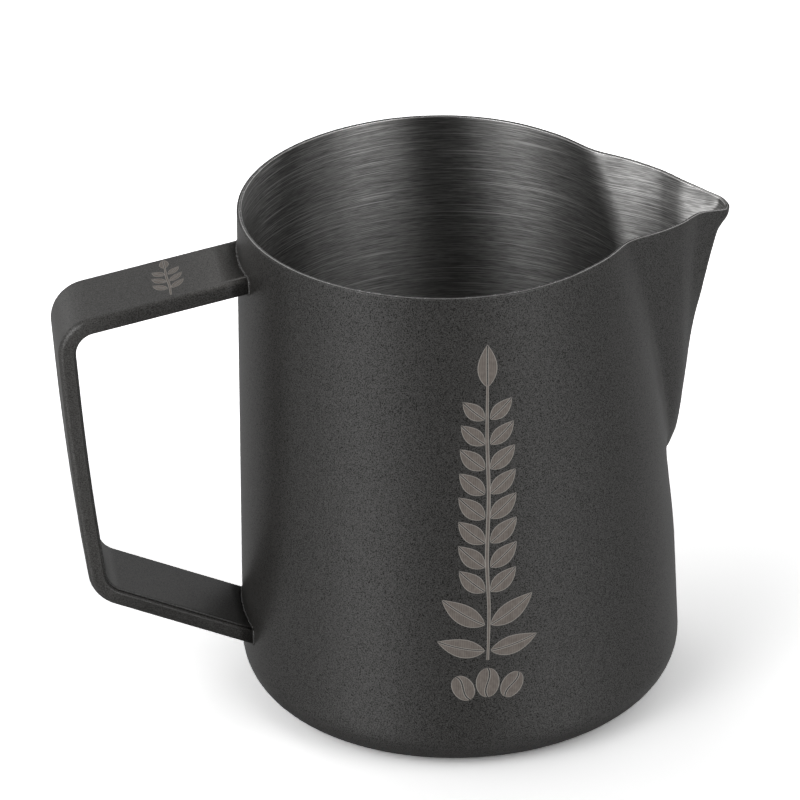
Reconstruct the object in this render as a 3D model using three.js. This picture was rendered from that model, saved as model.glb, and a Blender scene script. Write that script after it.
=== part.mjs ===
// Milk frothing pitcher, 600 ml class, free standing: steel shell, powder coat, strap handle.
// Units mm. +Z up, base underside on z = 0, spout along +X, handle along -X, mirror plane y = 0.
import * as THREE from 'three';

// ---------- driving dimensions ----------
const BASE_RADIUS = 45.0;       // outside radius the tapered wall would have at z = 0
const RIM_RADIUS = 42.1;        // outside radius of the round part at the rim
const RIM_HEIGHT = 105.4;       // rim height on the axis
const BASE_FILLET = 9.15;       // outside radius between wall and base
const SHELL_THICKNESS = 0.8;
const COAT_THICKNESS = 0.12;
const COAT_GAP = 0.03;          // clearance between coat and sheet
const COAT_TOP_DROP = 0.25;     // bare metal edge above the coat
const RIM_BEVEL = 0.1;          // the sheet narrows by this on each side at the rim

const SPOUT_FOOT_Z = 45.6;      // the spout starts to stand out here
const SPOUT_LIP_Z = 100.1;      // top of the nose line
const DRAW_IN = 3.4;            // how far the wall is pulled in beside the spout, at the rim
const CREASE_BLEND = 1.2;       // softness of the crease between spout and wall

const STRAP_WIDTH = 19.0;       // handle width
const STRAP_DEPTH = 3.2;
const STRAP_WALL = 0.9;         // sheet of the pressed channel
const STRAP_SHOULDER = 1.4;     // outside radius of the channel
const PLATE_THICKNESS = 0.8;    // closing strip
const PLATE_PROUD = 0.4;        // strip stands this far beyond the channel's lips
const PLATE_CLEARANCE = 0.05;
const PLATE_EDGE_SLANT = 0.2;   // strip is narrower by this on each side at its exposed face
const HANDLE_END_GAP = 0.12;    // between the handle ends and the coat
const BEAD_LEG = 0.6;
const BEAD_CLEARANCE = 0.07;

const DEG = Math.PI / 180;
const { smoothstep } = THREE.MathUtils;

// ---------- curves through measured stations ----------
// monotone cubic through [x, y] points, level and held constant at both ends
function curve(points) {
  const xs = points.map(([x]) => x);
  const ys = points.map(([, y]) => y);
  const last = points.length - 1;
  const steps = [];
  const slopes = [];
  for (let i = 0; i < last; i++) {
    steps.push(xs[i + 1] - xs[i]);
    slopes.push((ys[i + 1] - ys[i]) / steps[i]);
  }
  const tangents = new Array(last + 1).fill(0);
  for (let i = 1; i < last; i++) {
    if (slopes[i - 1] * slopes[i] > 0) {
      const before = 2 * steps[i] + steps[i - 1];
      const after = steps[i] + 2 * steps[i - 1];
      tangents[i] = (before + after) / (before / slopes[i - 1] + after / slopes[i]);
    }
  }
  return (x) => {
    if (x <= xs[0]) return ys[0];
    if (x >= xs[last]) return ys[last];
    let i = 0;
    while (x > xs[i + 1]) i++;
    const t = (x - xs[i]) / steps[i];
    const t2 = t * t;
    const t3 = t2 * t;
    return (2 * t3 - 3 * t2 + 1) * ys[i] + (t3 - 2 * t2 + t) * steps[i] * tangents[i]
      + (3 * t2 - 2 * t3) * ys[i + 1] + (t3 - t2) * steps[i] * tangents[i + 1];
  };
}

// [height, distance from the axis] of the spout's lower part
const LOWER_NOSE = [
  [SPOUT_FOOT_Z, 42.9], [47.4, 43.89], [49.2, 44.58], [50.9, 45.18], [52.8, 45.57],
  [56.4, 46.18], [60, 46.68], [65.4, 47.5], [70.8, 48.24],
];
// the nose line, which flares at the lip
const noseLine = curve([
  ...LOWER_NOSE, [76.1, 49.24], [81.4, 50.63], [86.7, 51.91], [92, 53.27],
  [95.4, 54.29], [97.1, 55.27], [98.4, 56.21], [99.2, 56.45], [SPOUT_LIP_Z, 56.5],
]);
// the same for the sides of the spout, which open evenly and have no flare
const sideLine = curve([
  ...LOWER_NOSE, [76.1, 49.3], [81.4, 50.75], [86.7, 52.3], [92, 53.95],
  [96, 55.25], [99, 56.2], [SPOUT_LIP_Z, 56.45], [101.5, 56.5],
]);
// [share of the crease angle, rim height]
const sideRim = curve([
  [0, SPOUT_LIP_Z], [0.2, 101.3], [0.35, 102.0], [0.5, 102.6], [0.7, 103.4],
  [1.0, 104.3], [1.4, 105], [2.5, 105],
]);
// [height, half angle of the crease in degrees]
const creaseDegrees = curve([
  [45.6, 0.5], [47, 3.2], [50, 6.2], [54, 8.5], [60, 10.8], [67, 13.8],
  [76.5, 19], [84.5, 23.6], [91, 27], [97, 30.2], [103, 33.4], [106, 35],
]);
// [height, share of the draw-in]
const drawShare = curve([
  [30, 0], [35, 0.06], [38, 0.11], [41, 0.18], [44, 0.235], [47, 0.28], [54, 0.27],
  [60, 0.30], [67, 0.40], [76, 0.55], [85, 0.70], [95, 0.87], [104, 1.0], [110, 1.06],
]);
// [degrees behind the crease, share of the draw-in left]
const drawFade = curve([
  [0, 1], [2, 0.985], [4, 0.943], [10, 0.81], [18, 0.68], [31, 0.40], [48, 0.13], [68, 0],
]);
// upper spout section: [share of the crease angle, share of the nose's projection]
const upperSection = curve([
  [0, 1], [0.086, 0.965], [0.171, 0.800], [0.215, 0.715], [0.257, 0.638], [0.343, 0.557],
  [0.457, 0.4645], [0.571, 0.36], [0.686, 0.255], [0.8, 0.146], [0.886, 0.065], [0.971, 0.0],
  [1.1, -0.08], [1.4, -0.3], [2.5, -1.5],
]);
const lowerSection = (share) => 1 - share * share;
// [x, rim height relative to RIM_HEIGHT]
const rimDrop = curve([
  [-45, 0.38], [-10, 0], [20, -0.58], [33, -1.35], [42, -2.36], [49, -3.37],
  [55.5, -5.25], [57, -5.6],
]);

// ---------- outside surface of the body ----------
const SPOUT_REACH = 2.4;                          // in crease angles; plain wall beyond this
const SECTION_CHANGE = { from: 58, to: 98 };      // heights, lower to upper section
const SIDE_CHANGE = { from: 0.08, to: 0.38 };     // crease shares, nose line to side line
const BLEND_GROWTH = { from: 46, to: 54 };        // heights over which the crease softens
const MIN_BLEND = 0.02;

const rampOver = (range, value) => smoothstep(value, range.from, range.to);
const coneRadius = (z) => BASE_RADIUS - (BASE_RADIUS - RIM_RADIUS) * z / RIM_HEIGHT;

function wallRadius(degrees, z) {
  return coneRadius(z) - DRAW_IN * drawShare(z) * drawFade(degrees - creaseDegrees(z));
}

// distance from the axis at an angle (radians, 0 at the spout) and a height
function bodyRadius(angle, z) {
  const degrees = Math.abs(angle) / DEG;
  const wall = wallRadius(degrees, z);
  const share = degrees / creaseDegrees(z);
  if (z <= SPOUT_FOOT_Z || share > SPOUT_REACH) return wall;

  const upper = rampOver(SECTION_CHANGE, z);
  const section = upperSection(share) * upper + lowerSection(share) * (1 - upper);
  const side = rampOver(SIDE_CHANGE, share);
  const sideZ = SPOUT_FOOT_Z
    + (z - SPOUT_FOOT_Z) * (SPOUT_LIP_Z - SPOUT_FOOT_Z) / (sideRim(share) - SPOUT_FOOT_Z);
  const nose = noseLine(z) * (1 - side) + sideLine(sideZ) * side;
  const wallAtNose = wallRadius(0, z);
  const spout = wallAtNose + (nose - wallAtNose) * section;
  // softened maximum of wall and spout
  const blend = MIN_BLEND + CREASE_BLEND * rampOver(BLEND_GROWTH, z);
  return (wall + spout + Math.sqrt((wall - spout) ** 2 + blend * blend)) / 2;
}

// the rim height depends on x and x on the height, so it is found by iteration
function rimHeightAt(angle) {
  let z = RIM_HEIGHT;
  for (let i = 0; i < 8; i++) z = RIM_HEIGHT + rimDrop(bodyRadius(angle, z) * Math.cos(angle));
  return z;
}

// ---------- columns: they follow the crease so that it stays crisp ----------
// shares of the crease angle, from the nose to just past the crease
const SPOUT_SHARES = [0, 0.05, 0.11, 0.18, 0.26, 0.36, 0.47, 0.59, 0.71, 0.83, 0.93, 1.0, 1.08];
// shares of the way from there round to the handle side
const REST_SHARES = [
  0.03, 0.07, 0.12, 0.175, 0.23, 0.285, 0.34, 0.395, 0.45, 0.505,
  0.56, 0.615, 0.67, 0.725, 0.78, 0.835, 0.89, 0.945, 1.0,
];
const MIN_SPOUT_DEGREES = 9;    // the spout columns keep this half width below the spout

const COLUMNS = [
  ...SPOUT_SHARES.slice(1).reverse().map((spout) => ({ sign: -1, spout })),
  ...SPOUT_SHARES.map((spout) => ({ sign: 1, spout })),
  ...REST_SHARES.map((rest) => ({ sign: 1, rest })),
  ...REST_SHARES.slice(0, -1).reverse().map((rest) => ({ sign: -1, rest })),
];

function columnAngle({ sign, spout, rest }, z) {
  const width = Math.max(creaseDegrees(z), MIN_SPOUT_DEGREES);
  const spoutEnd = SPOUT_SHARES.at(-1) * width;
  return sign * DEG * (rest === undefined ? spout * width : spoutEnd + rest * (180 - spoutEnd));
}

function columnRimHeight(column) {
  let z = 103;
  for (let i = 0; i < 12; i++) z = rimHeightAt(columnAngle(column, z));
  return z;
}
const COLUMN_RIMS = COLUMNS.map(columnRimHeight);

// ---------- rows: each gives the outside position and normal at a column ----------
const BASE_FLAT_RADIUS = coneRadius(BASE_FILLET) - BASE_FILLET;
const onCircle = (angle, radius, z) =>
  new THREE.Vector3(radius * Math.cos(angle), radius * Math.sin(angle), z);

const filletRow = (tilt) => (column) => {
  const angle = columnAngle(column, BASE_FILLET);
  const radius = BASE_FLAT_RADIUS + BASE_FILLET * Math.sin(tilt);
  return {
    position: onCircle(angle, radius, BASE_FILLET * (1 - Math.cos(tilt))),
    normal: onCircle(angle, Math.sin(tilt), -Math.cos(tilt)),
  };
};

// share runs from the top of the fillet (0) to the rim (1)
const wallRow = (share, drop = 0) => (column, index) => {
  const z = BASE_FILLET + share * (COLUMN_RIMS[index] - BASE_FILLET) - drop;
  const angle = columnAngle(column, z);
  const radius = bodyRadius(angle, z);
  const dz = 0.02;
  const da = 0.0005;
  const aroundSlope = (bodyRadius(angle + da, z) - bodyRadius(angle - da, z)) / (2 * da);
  const riseSlope = (bodyRadius(angle, z + dz) - bodyRadius(angle, z - dz)) / (2 * dz);
  const around = new THREE.Vector3(-Math.sin(angle), Math.cos(angle), 0);
  const normal = onCircle(angle, 1, 0).addScaledVector(around, -aroundSlope / radius);
  return { position: onCircle(angle, radius, z), normal: normal.setZ(-riseSlope).normalize() };
};

const FILLET_DEGREES = [8, 22, 38, 55, 72, 90];
// heights of the wall rows on the nose line, where the rim is at NOSE_RIM_Z
const NOSE_ROW_Z = [
  14, 20, 26, 32, 37, 41, 44, 46.2, 47.6, 49.2, 51.3, 54.5,
  59, 65, 72, 79, 85, 90, 94, 96.6, 98.2, 99.3,
];
const NOSE_RIM_Z = 100.05;
const RIM_ROW = wallRow(1);
const SKIN_ROWS = [
  ...FILLET_DEGREES.map((degrees) => filletRow(degrees * DEG)),
  ...NOSE_ROW_Z.map((z) => wallRow((z - BASE_FILLET) / (NOSE_RIM_Z - BASE_FILLET))),
  wallRow(1, COAT_TOP_DROP),
];

function insetAlongNormal({ position, normal }, depth) {
  return position.clone().addScaledVector(normal, -depth);
}
// moves inwards without changing height
function insetLevel({ position, normal }, depth) {
  const level = Math.hypot(normal.x, normal.y);
  const shift = Math.min(depth / level, 1.6 * depth);
  return new THREE.Vector3(
    position.x - shift * normal.x / level, position.y - shift * normal.y / level, position.z);
}

const skinRings = (depth) =>
  SKIN_ROWS.map((row) => COLUMNS.map((c, i) => insetAlongNormal(row(c, i), depth)));
const rimRing = (depth) => COLUMNS.map((c, i) => insetLevel(RIM_ROW(c, i), depth));
const flatRing = (radius, z) =>
  COLUMNS.map((c) => onCircle(columnAngle(c, BASE_FILLET), radius, z));

// ---------- mesh builder ----------
// two triangles for a quad, split along its shorter diagonal
function pushQuad(indices, rings, i, j) {
  const count = rings[0].length;
  const next = (i + 1) % rings.length;
  const k = (j + 1) % count;
  const here = i * count;
  const there = next * count;
  const mainDiagonal = rings[i][j].distanceToSquared(rings[next][k]);
  const crossDiagonal = rings[i][k].distanceToSquared(rings[next][j]);
  if (mainDiagonal <= crossDiagonal) {
    indices.push(here + j, here + k, there + k, here + j, there + k, there + j);
  } else {
    indices.push(here + j, here + k, there + j, here + k, there + k, there + j);
  }
}

function turnOutward(indices, positions) {
  const corner = (i) => new THREE.Vector3().fromArray(positions, 3 * indices[i]);
  let volume = 0;
  for (let i = 0; i < indices.length; i += 3) {
    volume += corner(i).dot(corner(i + 1).cross(corner(i + 2)));
  }
  if (volume >= 0) return;
  for (let i = 0; i < indices.length; i += 3) {
    [indices[i], indices[i + 1]] = [indices[i + 1], indices[i]];
  }
}

// rings: closed rings of equal length; without closers the last ring joins the first
function ringMesh({ name, rings, material, closeStart, closeEnd }) {
  const count = rings[0].length;
  const positions = rings.flat().flatMap((v) => [v.x, v.y, v.z]);
  const indices = [];
  const bands = closeStart ? rings.length - 1 : rings.length;
  for (let i = 0; i < bands; i++) {
    for (let j = 0; j < count; j++) pushQuad(indices, rings, i, j);
  }
  if (closeStart) {
    closeStart(indices, 0, count, positions);
    closeEnd(indices, (rings.length - 1) * count, count, positions);
  }
  turnOutward(indices, positions);
  const geometry = new THREE.BufferGeometry();
  geometry.setAttribute('position', new THREE.Float32BufferAttribute(positions, 3));
  geometry.setIndex(indices);
  geometry.computeVertexNormals();
  const mesh = new THREE.Mesh(geometry, material);
  mesh.name = name;
  return mesh;
}

// closes a ring with triangles to a point on the axis
const fanAt = (z) => (indices, first, count, positions) => {
  const centre = positions.length / 3;
  positions.push(0, 0, z);
  for (let j = 0; j < count; j++) {
    const a = first + j;
    const b = first + (j + 1) % count;
    if (first === 0) indices.push(b, a, centre);
    else indices.push(a, b, centre);
  }
};

// closes a strap section: two edge lines of equal length, filled by the strip between them
function stripCap(indices, first, count) {
  for (let i = 0; i < count / 2 - 1; i++) {
    const a = first + i;
    const b = a + 1;
    const d = first + count - 1 - i;
    const c = d - 1;
    if (first === 0) indices.push(b, a, d, b, d, c);
    else indices.push(a, b, d, b, c, d);
  }
}

// ---------- materials ----------
function standardMaterial(name, settings) {
  const material = new THREE.MeshStandardMaterial(settings);
  material.name = name;
  return material;
}
const steel = (name) =>
  standardMaterial(name, { color: 0xb9bbbd, roughness: 0.32, metalness: 1.0 });
const coat = (name, roughness) =>
  standardMaterial(name, { color: 0x3d3c3a, roughness, metalness: 0.25 });

// ---------- body ----------
function bodyShell() {
  const outside = COAT_THICKNESS + COAT_GAP;
  const inside = outside + SHELL_THICKNESS;
  const rings = [
    flatRing(BASE_FLAT_RADIUS * 0.5, 0),
    flatRing(BASE_FLAT_RADIUS, 0),
    ...skinRings(outside),
    rimRing(outside + RIM_BEVEL),
    rimRing(inside - RIM_BEVEL),
    ...skinRings(inside).reverse(),
    flatRing(BASE_FLAT_RADIUS, inside),
    flatRing(BASE_FLAT_RADIUS * 0.5, inside),
  ];
  const closers = { closeStart: fanAt(0), closeEnd: fanAt(inside) };
  return ringMesh({ name: 'body_shell', rings, material: steel('steel_shell'), ...closers });
}

function bodyCoating() {
  const rings = [...skinRings(0), ...skinRings(COAT_THICKNESS).reverse()];
  return ringMesh({ name: 'body_coating', rings, material: coat('coat_body', 0.55) });
}

// ---------- handle path ----------
// outside face in the x-z plane, from the upper end to the lower; corners have a radius
// and a number of segments
const HANDLE_PATH = [
  { x: -38.0, z: 97.78 },
  { x: -80.0, z: 90.0, radius: 8.0, segments: 7 },
  { x: -78.7, z: 58.5, radius: 700, segments: 3 },
  { x: -75.9, z: 28.35, radius: 8.5, segments: 6 },
  { x: -40.0, z: 12.16 },
];
const END_STRAIGHT = 9;         // from each end of the path to its neighbouring ring

function direction(from, to) {
  const length = Math.hypot(to.x - from.x, to.z - from.z);
  return { x: (to.x - from.x) / length, z: (to.z - from.z) / length };
}
// outward is to the right of travel
const outwardOf = (heading) => ({ x: heading.z, z: -heading.x });

function cornerSamples(before, corner, after) {
  const { radius, segments } = corner;
  const a = direction(before, corner);
  const b = direction(corner, after);
  const turn = Math.acos(Math.min(1, a.x * b.x + a.z * b.z));
  const sign = a.x * b.z - a.z * b.x > 0 ? 1 : -1;
  const setback = radius * Math.tan(turn / 2);
  const normal = outwardOf(a);
  const centreX = corner.x - a.x * setback - normal.x * radius;
  const centreZ = corner.z - a.z * setback - normal.z * radius;
  const samples = [];
  for (let i = 0; i <= segments; i++) {
    const angle = sign * turn * i / segments;
    const nx = normal.x * Math.cos(angle) - normal.z * Math.sin(angle);
    const nz = normal.x * Math.sin(angle) + normal.z * Math.cos(angle);
    samples.push({ x: centreX + nx * radius, z: centreZ + nz * radius, nx, nz });
  }
  return samples;
}

// an end of the path and its neighbour, both with the normal of the straight
function armSamples(end, corner, heading) {
  const { x: nx, z: nz } = outwardOf(heading);
  const inward = direction(end, corner);
  const x = end.x + END_STRAIGHT * inward.x;
  const z = end.z + END_STRAIGHT * inward.z;
  return { end: { x: end.x, z: end.z, nx, nz }, inner: { x, z, nx, nz } };
}

const [P0, P1] = HANDLE_PATH;
const [Q1, Q0] = HANDLE_PATH.slice(-2);
const UPPER_ARM = armSamples(P0, P1, direction(P0, P1));
const LOWER_ARM = armSamples(Q0, Q1, direction(Q1, Q0));
const MIDDLE_SAMPLES = [
  UPPER_ARM.inner,
  ...HANDLE_PATH.slice(1, -1).flatMap((corner, i) =>
    cornerSamples(HANDLE_PATH[i], corner, HANDLE_PATH[i + 2])),
  LOWER_ARM.inner,
];

// section points are { y, out }, out being the height above the handle's outside face
const place = (sample, { y, out }) =>
  new THREE.Vector3(sample.x + sample.nx * out, y, sample.z + sample.nz * out);

// walks from the arm's inner sample towards the body until the gap to the coat is reached
function armEndPoint(arm, point, gap) {
  const start = place(arm.inner, point);
  const heading = place(arm.end, point).sub(start).normalize();
  let clear = -6;
  let blocked = 14;
  for (let i = 0; i < 50; i++) {
    const middle = (clear + blocked) / 2;
    const p = start.clone().addScaledVector(heading, middle);
    const distance = Math.hypot(p.x, p.y) - bodyRadius(Math.atan2(p.y, p.x), p.z) - gap;
    if (distance > 0) clear = middle;
    else blocked = middle;
  }
  return start.addScaledVector(heading, clear);
}

function sweep(name, section, material) {
  const endRing = (arm) => section.map((point) => armEndPoint(arm, point, HANDLE_END_GAP));
  const rings = [
    endRing(UPPER_ARM),
    ...MIDDLE_SAMPLES.map((sample) => section.map((point) => place(sample, point))),
    endRing(LOWER_ARM),
  ];
  return ringMesh({ name, rings, material, closeStart: stripCap, closeEnd: stripCap });
}

// ---------- handle sections ----------
const HALF_WIDTH = STRAP_WIDTH / 2;
const SHOULDER_Y = HALF_WIDTH - STRAP_SHOULDER;
const INNER_Y = HALF_WIDTH - STRAP_WALL;
const PLATE_Y = INNER_Y - PLATE_CLEARANCE;
const PLATE_FACE_Y = PLATE_Y - PLATE_EDGE_SLANT;
const PLATE_FACE = -STRAP_DEPTH - PLATE_PROUD;
const FLAT_SEGMENTS = 8;

// rounding of a channel lip: [distance from its side face, height above the lip's end]
const LIP_ROUNDING = [[0.36, 0], [0.11, 0.13], [0, 0.42]];
// inside corner of the channel: [distance from the inside face, out]
const INNER_CORNER = [[0, -1.7], [0, -1.45], [0.1, -1.15], [0.3, -0.98], [0.6, -STRAP_WALL]];

function shoulder(y, fromDegrees, toDegrees) {
  const segments = 4;
  return Array.from({ length: segments + 1 }, (_, i) => {
    const angle = (fromDegrees + (toDegrees - fromDegrees) * i / segments) * DEG;
    return {
      y: y + STRAP_SHOULDER * Math.cos(angle),
      out: -STRAP_SHOULDER + STRAP_SHOULDER * Math.sin(angle),
    };
  });
}
// the points between the two ends of a flat, ends left out
function flat(fromY, toY, out) {
  const points = [];
  for (let i = 1; i < FLAT_SEGMENTS; i++) {
    points.push({ y: fromY + (toY - fromY) * i / FLAT_SEGMENTS, out });
  }
  return points;
}
const mirrored = (points) => points.map(({ y, out }) => ({ y: -y, out })).reverse();
const lip = (y, sign) =>
  LIP_ROUNDING.map(([aside, up]) => ({ y: y + sign * aside, out: -STRAP_DEPTH + up }));

const OUTER_LIP = lip(-HALF_WIDTH, 1);
const CROWN = [
  ...shoulder(-SHOULDER_Y, 180, 90),
  ...flat(-SHOULDER_Y, SHOULDER_Y, 0),
  ...shoulder(SHOULDER_Y, 90, 0),
];

function handleChannel() {
  const innerSide = [
    ...lip(-INNER_Y, -1),
    ...INNER_CORNER.map(([aside, out]) => ({ y: -INNER_Y + aside, out })),
  ];
  const outer = [...OUTER_LIP, ...CROWN, ...mirrored(OUTER_LIP)];
  const inner = [
    ...innerSide,
    ...flat(-SHOULDER_Y, SHOULDER_Y, -STRAP_WALL),
    ...mirrored(innerSide),
  ];
  const section = [...outer, ...inner.reverse()];
  return sweep('handle_outer_channel', section, coat('coat_channel', 0.6));
}

function handlePlate() {
  const back = PLATE_FACE + PLATE_THICKNESS;
  const hidden = [{ y: -PLATE_Y, out: back }, ...flat(-PLATE_Y, PLATE_Y, back),
    { y: PLATE_Y, out: back }];
  const exposed = [{ y: -PLATE_FACE_Y, out: PLATE_FACE }, ...flat(-PLATE_Y, PLATE_Y, PLATE_FACE),
    { y: PLATE_FACE_Y, out: PLATE_FACE }];
  return sweep('handle_inner_plate', [...hidden, ...exposed.reverse()], coat('coat_plate', 0.6));
}

// ---------- weld beads ----------
// bead section in legs: [along the wall, back along the arm]
const BEAD_SECTION = [[0, 0], [1, 0], [0.72, 0.32], [0.32, 0.72], [0, 1]];
const WALL_NORMAL_RISE = 0.03;  // upward part of the wall normal, from the taper

// a ring of weld on the wall round one end of the handle
function weldBead(name, arm) {
  const outline = [
    ...CROWN,
    ...mirrored(OUTER_LIP),
    { y: PLATE_FACE_Y, out: PLATE_FACE },
    ...flat(PLATE_FACE_Y, -PLATE_FACE_Y, PLATE_FACE),
    { y: -PLATE_FACE_Y, out: PLATE_FACE },
    ...OUTER_LIP,
  ];
  const foot = outline.map((point) => armEndPoint(arm, point, BEAD_CLEARANCE));
  const count = foot.length;
  const origin = { y: 0, out: 0 };
  const back = place(arm.inner, origin).sub(place(arm.end, origin)).normalize();
  const centre = foot.reduce((sum, p) => sum.add(p), new THREE.Vector3()).divideScalar(count);
  const rings = foot.map((p, i) => {
    const previous = foot[(i + count - 1) % count];
    const tangent = foot[(i + 1) % count].clone().sub(previous).normalize();
    const wallNormal = onCircle(Math.atan2(p.y, p.x), 1, WALL_NORMAL_RISE).normalize();
    // along the wall, away from the handle
    const along = tangent.cross(wallNormal).normalize();
    if (along.dot(p.clone().sub(centre)) < 0) along.negate();
    const edge = p.clone().addScaledVector(along, BEAD_CLEARANCE);
    return BEAD_SECTION.map(([aside, up]) => edge.clone()
      .addScaledVector(along, aside * BEAD_LEG)
      .addScaledVector(back, up * BEAD_LEG));
  });
  return ringMesh({ name, rings, material: coat('coat_' + name, 0.5) });
}

// ---------- assembly ----------
const group = new THREE.Group();
group.name = 'milk_frothing_pitcher';
group.add(
  bodyShell(),
  bodyCoating(),
  handleChannel(),
  handlePlate(),
  weldBead('upper_weld_bead', UPPER_ARM),
  weldBead('lower_weld_bead', LOWER_ARM),
);
export default group;
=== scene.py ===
# Milk frothing pitcher: a powder-coated steel body with a drawn spout, a strap handle on two
# weld beads, and etched coffee sprigs on the body and the handle. It stands on z = 0 round the
# Z axis, with the spout towards +X, the handle towards -X and the camera on the -Y side.
# The shape code works in millimetres and degrees; meshes are turned into metres when made.
import bpy
import math
import numpy as np
from mathutils import Matrix, Vector


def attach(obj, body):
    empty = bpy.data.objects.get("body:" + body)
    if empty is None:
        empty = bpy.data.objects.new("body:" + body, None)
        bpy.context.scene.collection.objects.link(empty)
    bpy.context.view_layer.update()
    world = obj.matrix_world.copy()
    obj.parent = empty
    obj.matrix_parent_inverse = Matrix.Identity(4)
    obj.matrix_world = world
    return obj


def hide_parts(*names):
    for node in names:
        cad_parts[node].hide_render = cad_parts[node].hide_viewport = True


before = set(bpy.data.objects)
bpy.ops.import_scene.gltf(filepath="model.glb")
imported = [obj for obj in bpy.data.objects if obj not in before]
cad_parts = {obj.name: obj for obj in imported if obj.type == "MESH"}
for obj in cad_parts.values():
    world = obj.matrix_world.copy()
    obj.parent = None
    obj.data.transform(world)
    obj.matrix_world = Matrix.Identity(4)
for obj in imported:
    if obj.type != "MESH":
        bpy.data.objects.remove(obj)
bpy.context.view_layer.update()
MM = 0.001
DEG = math.pi / 180

# ------------------------------------------------------------------ driving sizes (mm)
R_BASE, R_RIM, H_RIM, BASE_FILLET = 45.0, 42.1, 105.4, 9.15
SHELL_T, COAT_T, COAT_GAP = 0.8, 0.12, 0.03
DRAW_IN, CREASE_BLEND = 3.4, 1.2        # how far the wall is drawn in by the spout; crease softness
SPOUT_FOOT_Z, NOSE_TOP_Z = 45.6, 100.1
STRAP_W, STRAP_T, STRAP_WALL, STRAP_SHOULDER = 19.0, 3.2, 0.9, 1.4
PLATE_T, PLATE_PROUD, PLATE_CLEAR = 0.8, 0.4, 0.05
LIP_R = 0.45
HANDLE_GAP = 0.03                       # between the strap ends and the body
# corners of the handle's outside line: x, z, bend radius, segments in the bend
HANDLE_PATH = [
    (-38.0, 97.78, 0, 0),
    (-80.0, 90.0, 8.0, 30),
    (-78.7, 58.5, 700.0, 16),
    (-75.9, 28.35, 8.5, 26),
    (-40.0, 12.16, 0, 0),
]


# ------------------------------------------------------------------ curves
def pchip(xs, ys):
    """monotone cubic through the points, held level beyond both ends"""
    xs, ys = np.array(xs, float), np.array(ys, float)
    n = len(xs)
    step = np.diff(xs)
    rise = np.diff(ys) / step
    slope = np.zeros(n)
    for i in range(1, n - 1):
        if rise[i - 1] * rise[i] > 0:
            w1, w2 = 2 * step[i] + step[i - 1], step[i] + 2 * step[i - 1]
            slope[i] = (w1 + w2) / (w1 / rise[i - 1] + w2 / rise[i])

    def curve(x):
        x = np.clip(np.asarray(x, float), xs[0], xs[-1])
        i = np.clip(np.searchsorted(xs, x, side="right") - 1, 0, n - 2)
        t = (x - xs[i]) / step[i]
        t2, t3 = t * t, t * t * t
        return (
            (2 * t3 - 3 * t2 + 1) * ys[i]
            + (t3 - 2 * t2 + t) * step[i] * slope[i]
            + (3 * t2 - 2 * t3) * ys[i + 1]
            + (t3 - t2) * step[i] * slope[i + 1]
        )

    return curve


def smooth(t):
    c = np.clip(t, 0, 1)
    return c * c * (3 - 2 * c)


# Each curve: a list of stations, then the value at each.
# height -> radius of the spout along its centre line; both noses share the lower part
NOSE_LOW_Z = [45.6, 47.4, 49.2, 50.9, 52.8, 56.4, 60, 65.4, 70.8]
NOSE_LOW_R = [42.9, 43.89, 44.58, 45.18, 45.57, 46.18, 46.68, 47.5, 48.24]
nose_centre = pchip(
    NOSE_LOW_Z + [76.1, 81.4, 86.7, 92, 95.4, 97.1, 98.4, 99.2, 100.1],
    NOSE_LOW_R + [49.24, 50.63, 51.91, 53.27, 54.29, 55.27, 56.21, 56.45, 56.5],
)
# the same for the spout's flanks, with a more even upper part
nose_flank = pchip(
    NOSE_LOW_Z + [76.1, 81.4, 86.7, 92, 96, 99, 100.1, 101.5],
    NOSE_LOW_R + [49.3, 50.75, 52.3, 53.95, 55.25, 56.2, 56.45, 56.5],
)
# share of the way from spout centre to crease -> rim height there
side_rim = pchip(
    [0, 0.2, 0.35, 0.5, 0.7, 1.0, 1.4, 2.5],
    [100.1, 101.3, 102.0, 102.6, 103.4, 104.3, 105, 105],
)
# height -> angle of the crease from the spout centre, degrees
crease_deg = pchip(
    [45.6, 47, 50, 54, 60, 67, 76.5, 84.5, 91, 97, 103, 106],
    [0.5, 3.2, 6.2, 8.5, 10.8, 13.8, 19, 23.6, 27, 30.2, 33.4, 35],
)
# height -> share of DRAW_IN
draw_share = pchip(
    [30, 35, 38, 41, 44, 47, 54, 60, 67, 76, 85, 95, 104, 110],
    [0, 0.06, 0.11, 0.18, 0.235, 0.28, 0.27, 0.30, 0.40, 0.55, 0.70, 0.87, 1.0, 1.06],
)
# degrees past the crease -> how much of the draw is left
draw_fade = pchip([0, 2, 4, 10, 18, 31, 48, 68], [1, 0.985, 0.943, 0.81, 0.68, 0.40, 0.13, 0])
# share of the way to the crease -> share of the nose's reach, in the upper spout
section_top = pchip(
    [0, 0.086, 0.171, 0.215, 0.257, 0.30, 0.343, 0.40, 0.457, 0.571, 0.686, 0.8, 0.886, 0.971,
     1.1, 1.4, 2.5],
    [1, 0.965, 0.800, 0.715, 0.646, 0.594, 0.556, 0.510, 0.4645, 0.36, 0.255, 0.146, 0.065, 0.0,
     -0.08, -0.3, -1.5],
)
# x -> rim height above H_RIM
rim_drop = pchip(
    [-45, -10, 20, 33, 42, 49, 55.5, 57],
    [0.38, 0, -0.58, -1.35, -2.36, -3.37, -5.25, -5.6],
)


# ------------------------------------------------------------------ body surface
def cone(z):
    return R_BASE - (R_BASE - R_RIM) * z / H_RIM


def wall_radius(degrees, z):
    return cone(z) - DRAW_IN * draw_share(z) * draw_fade(degrees - crease_deg(z))


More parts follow.
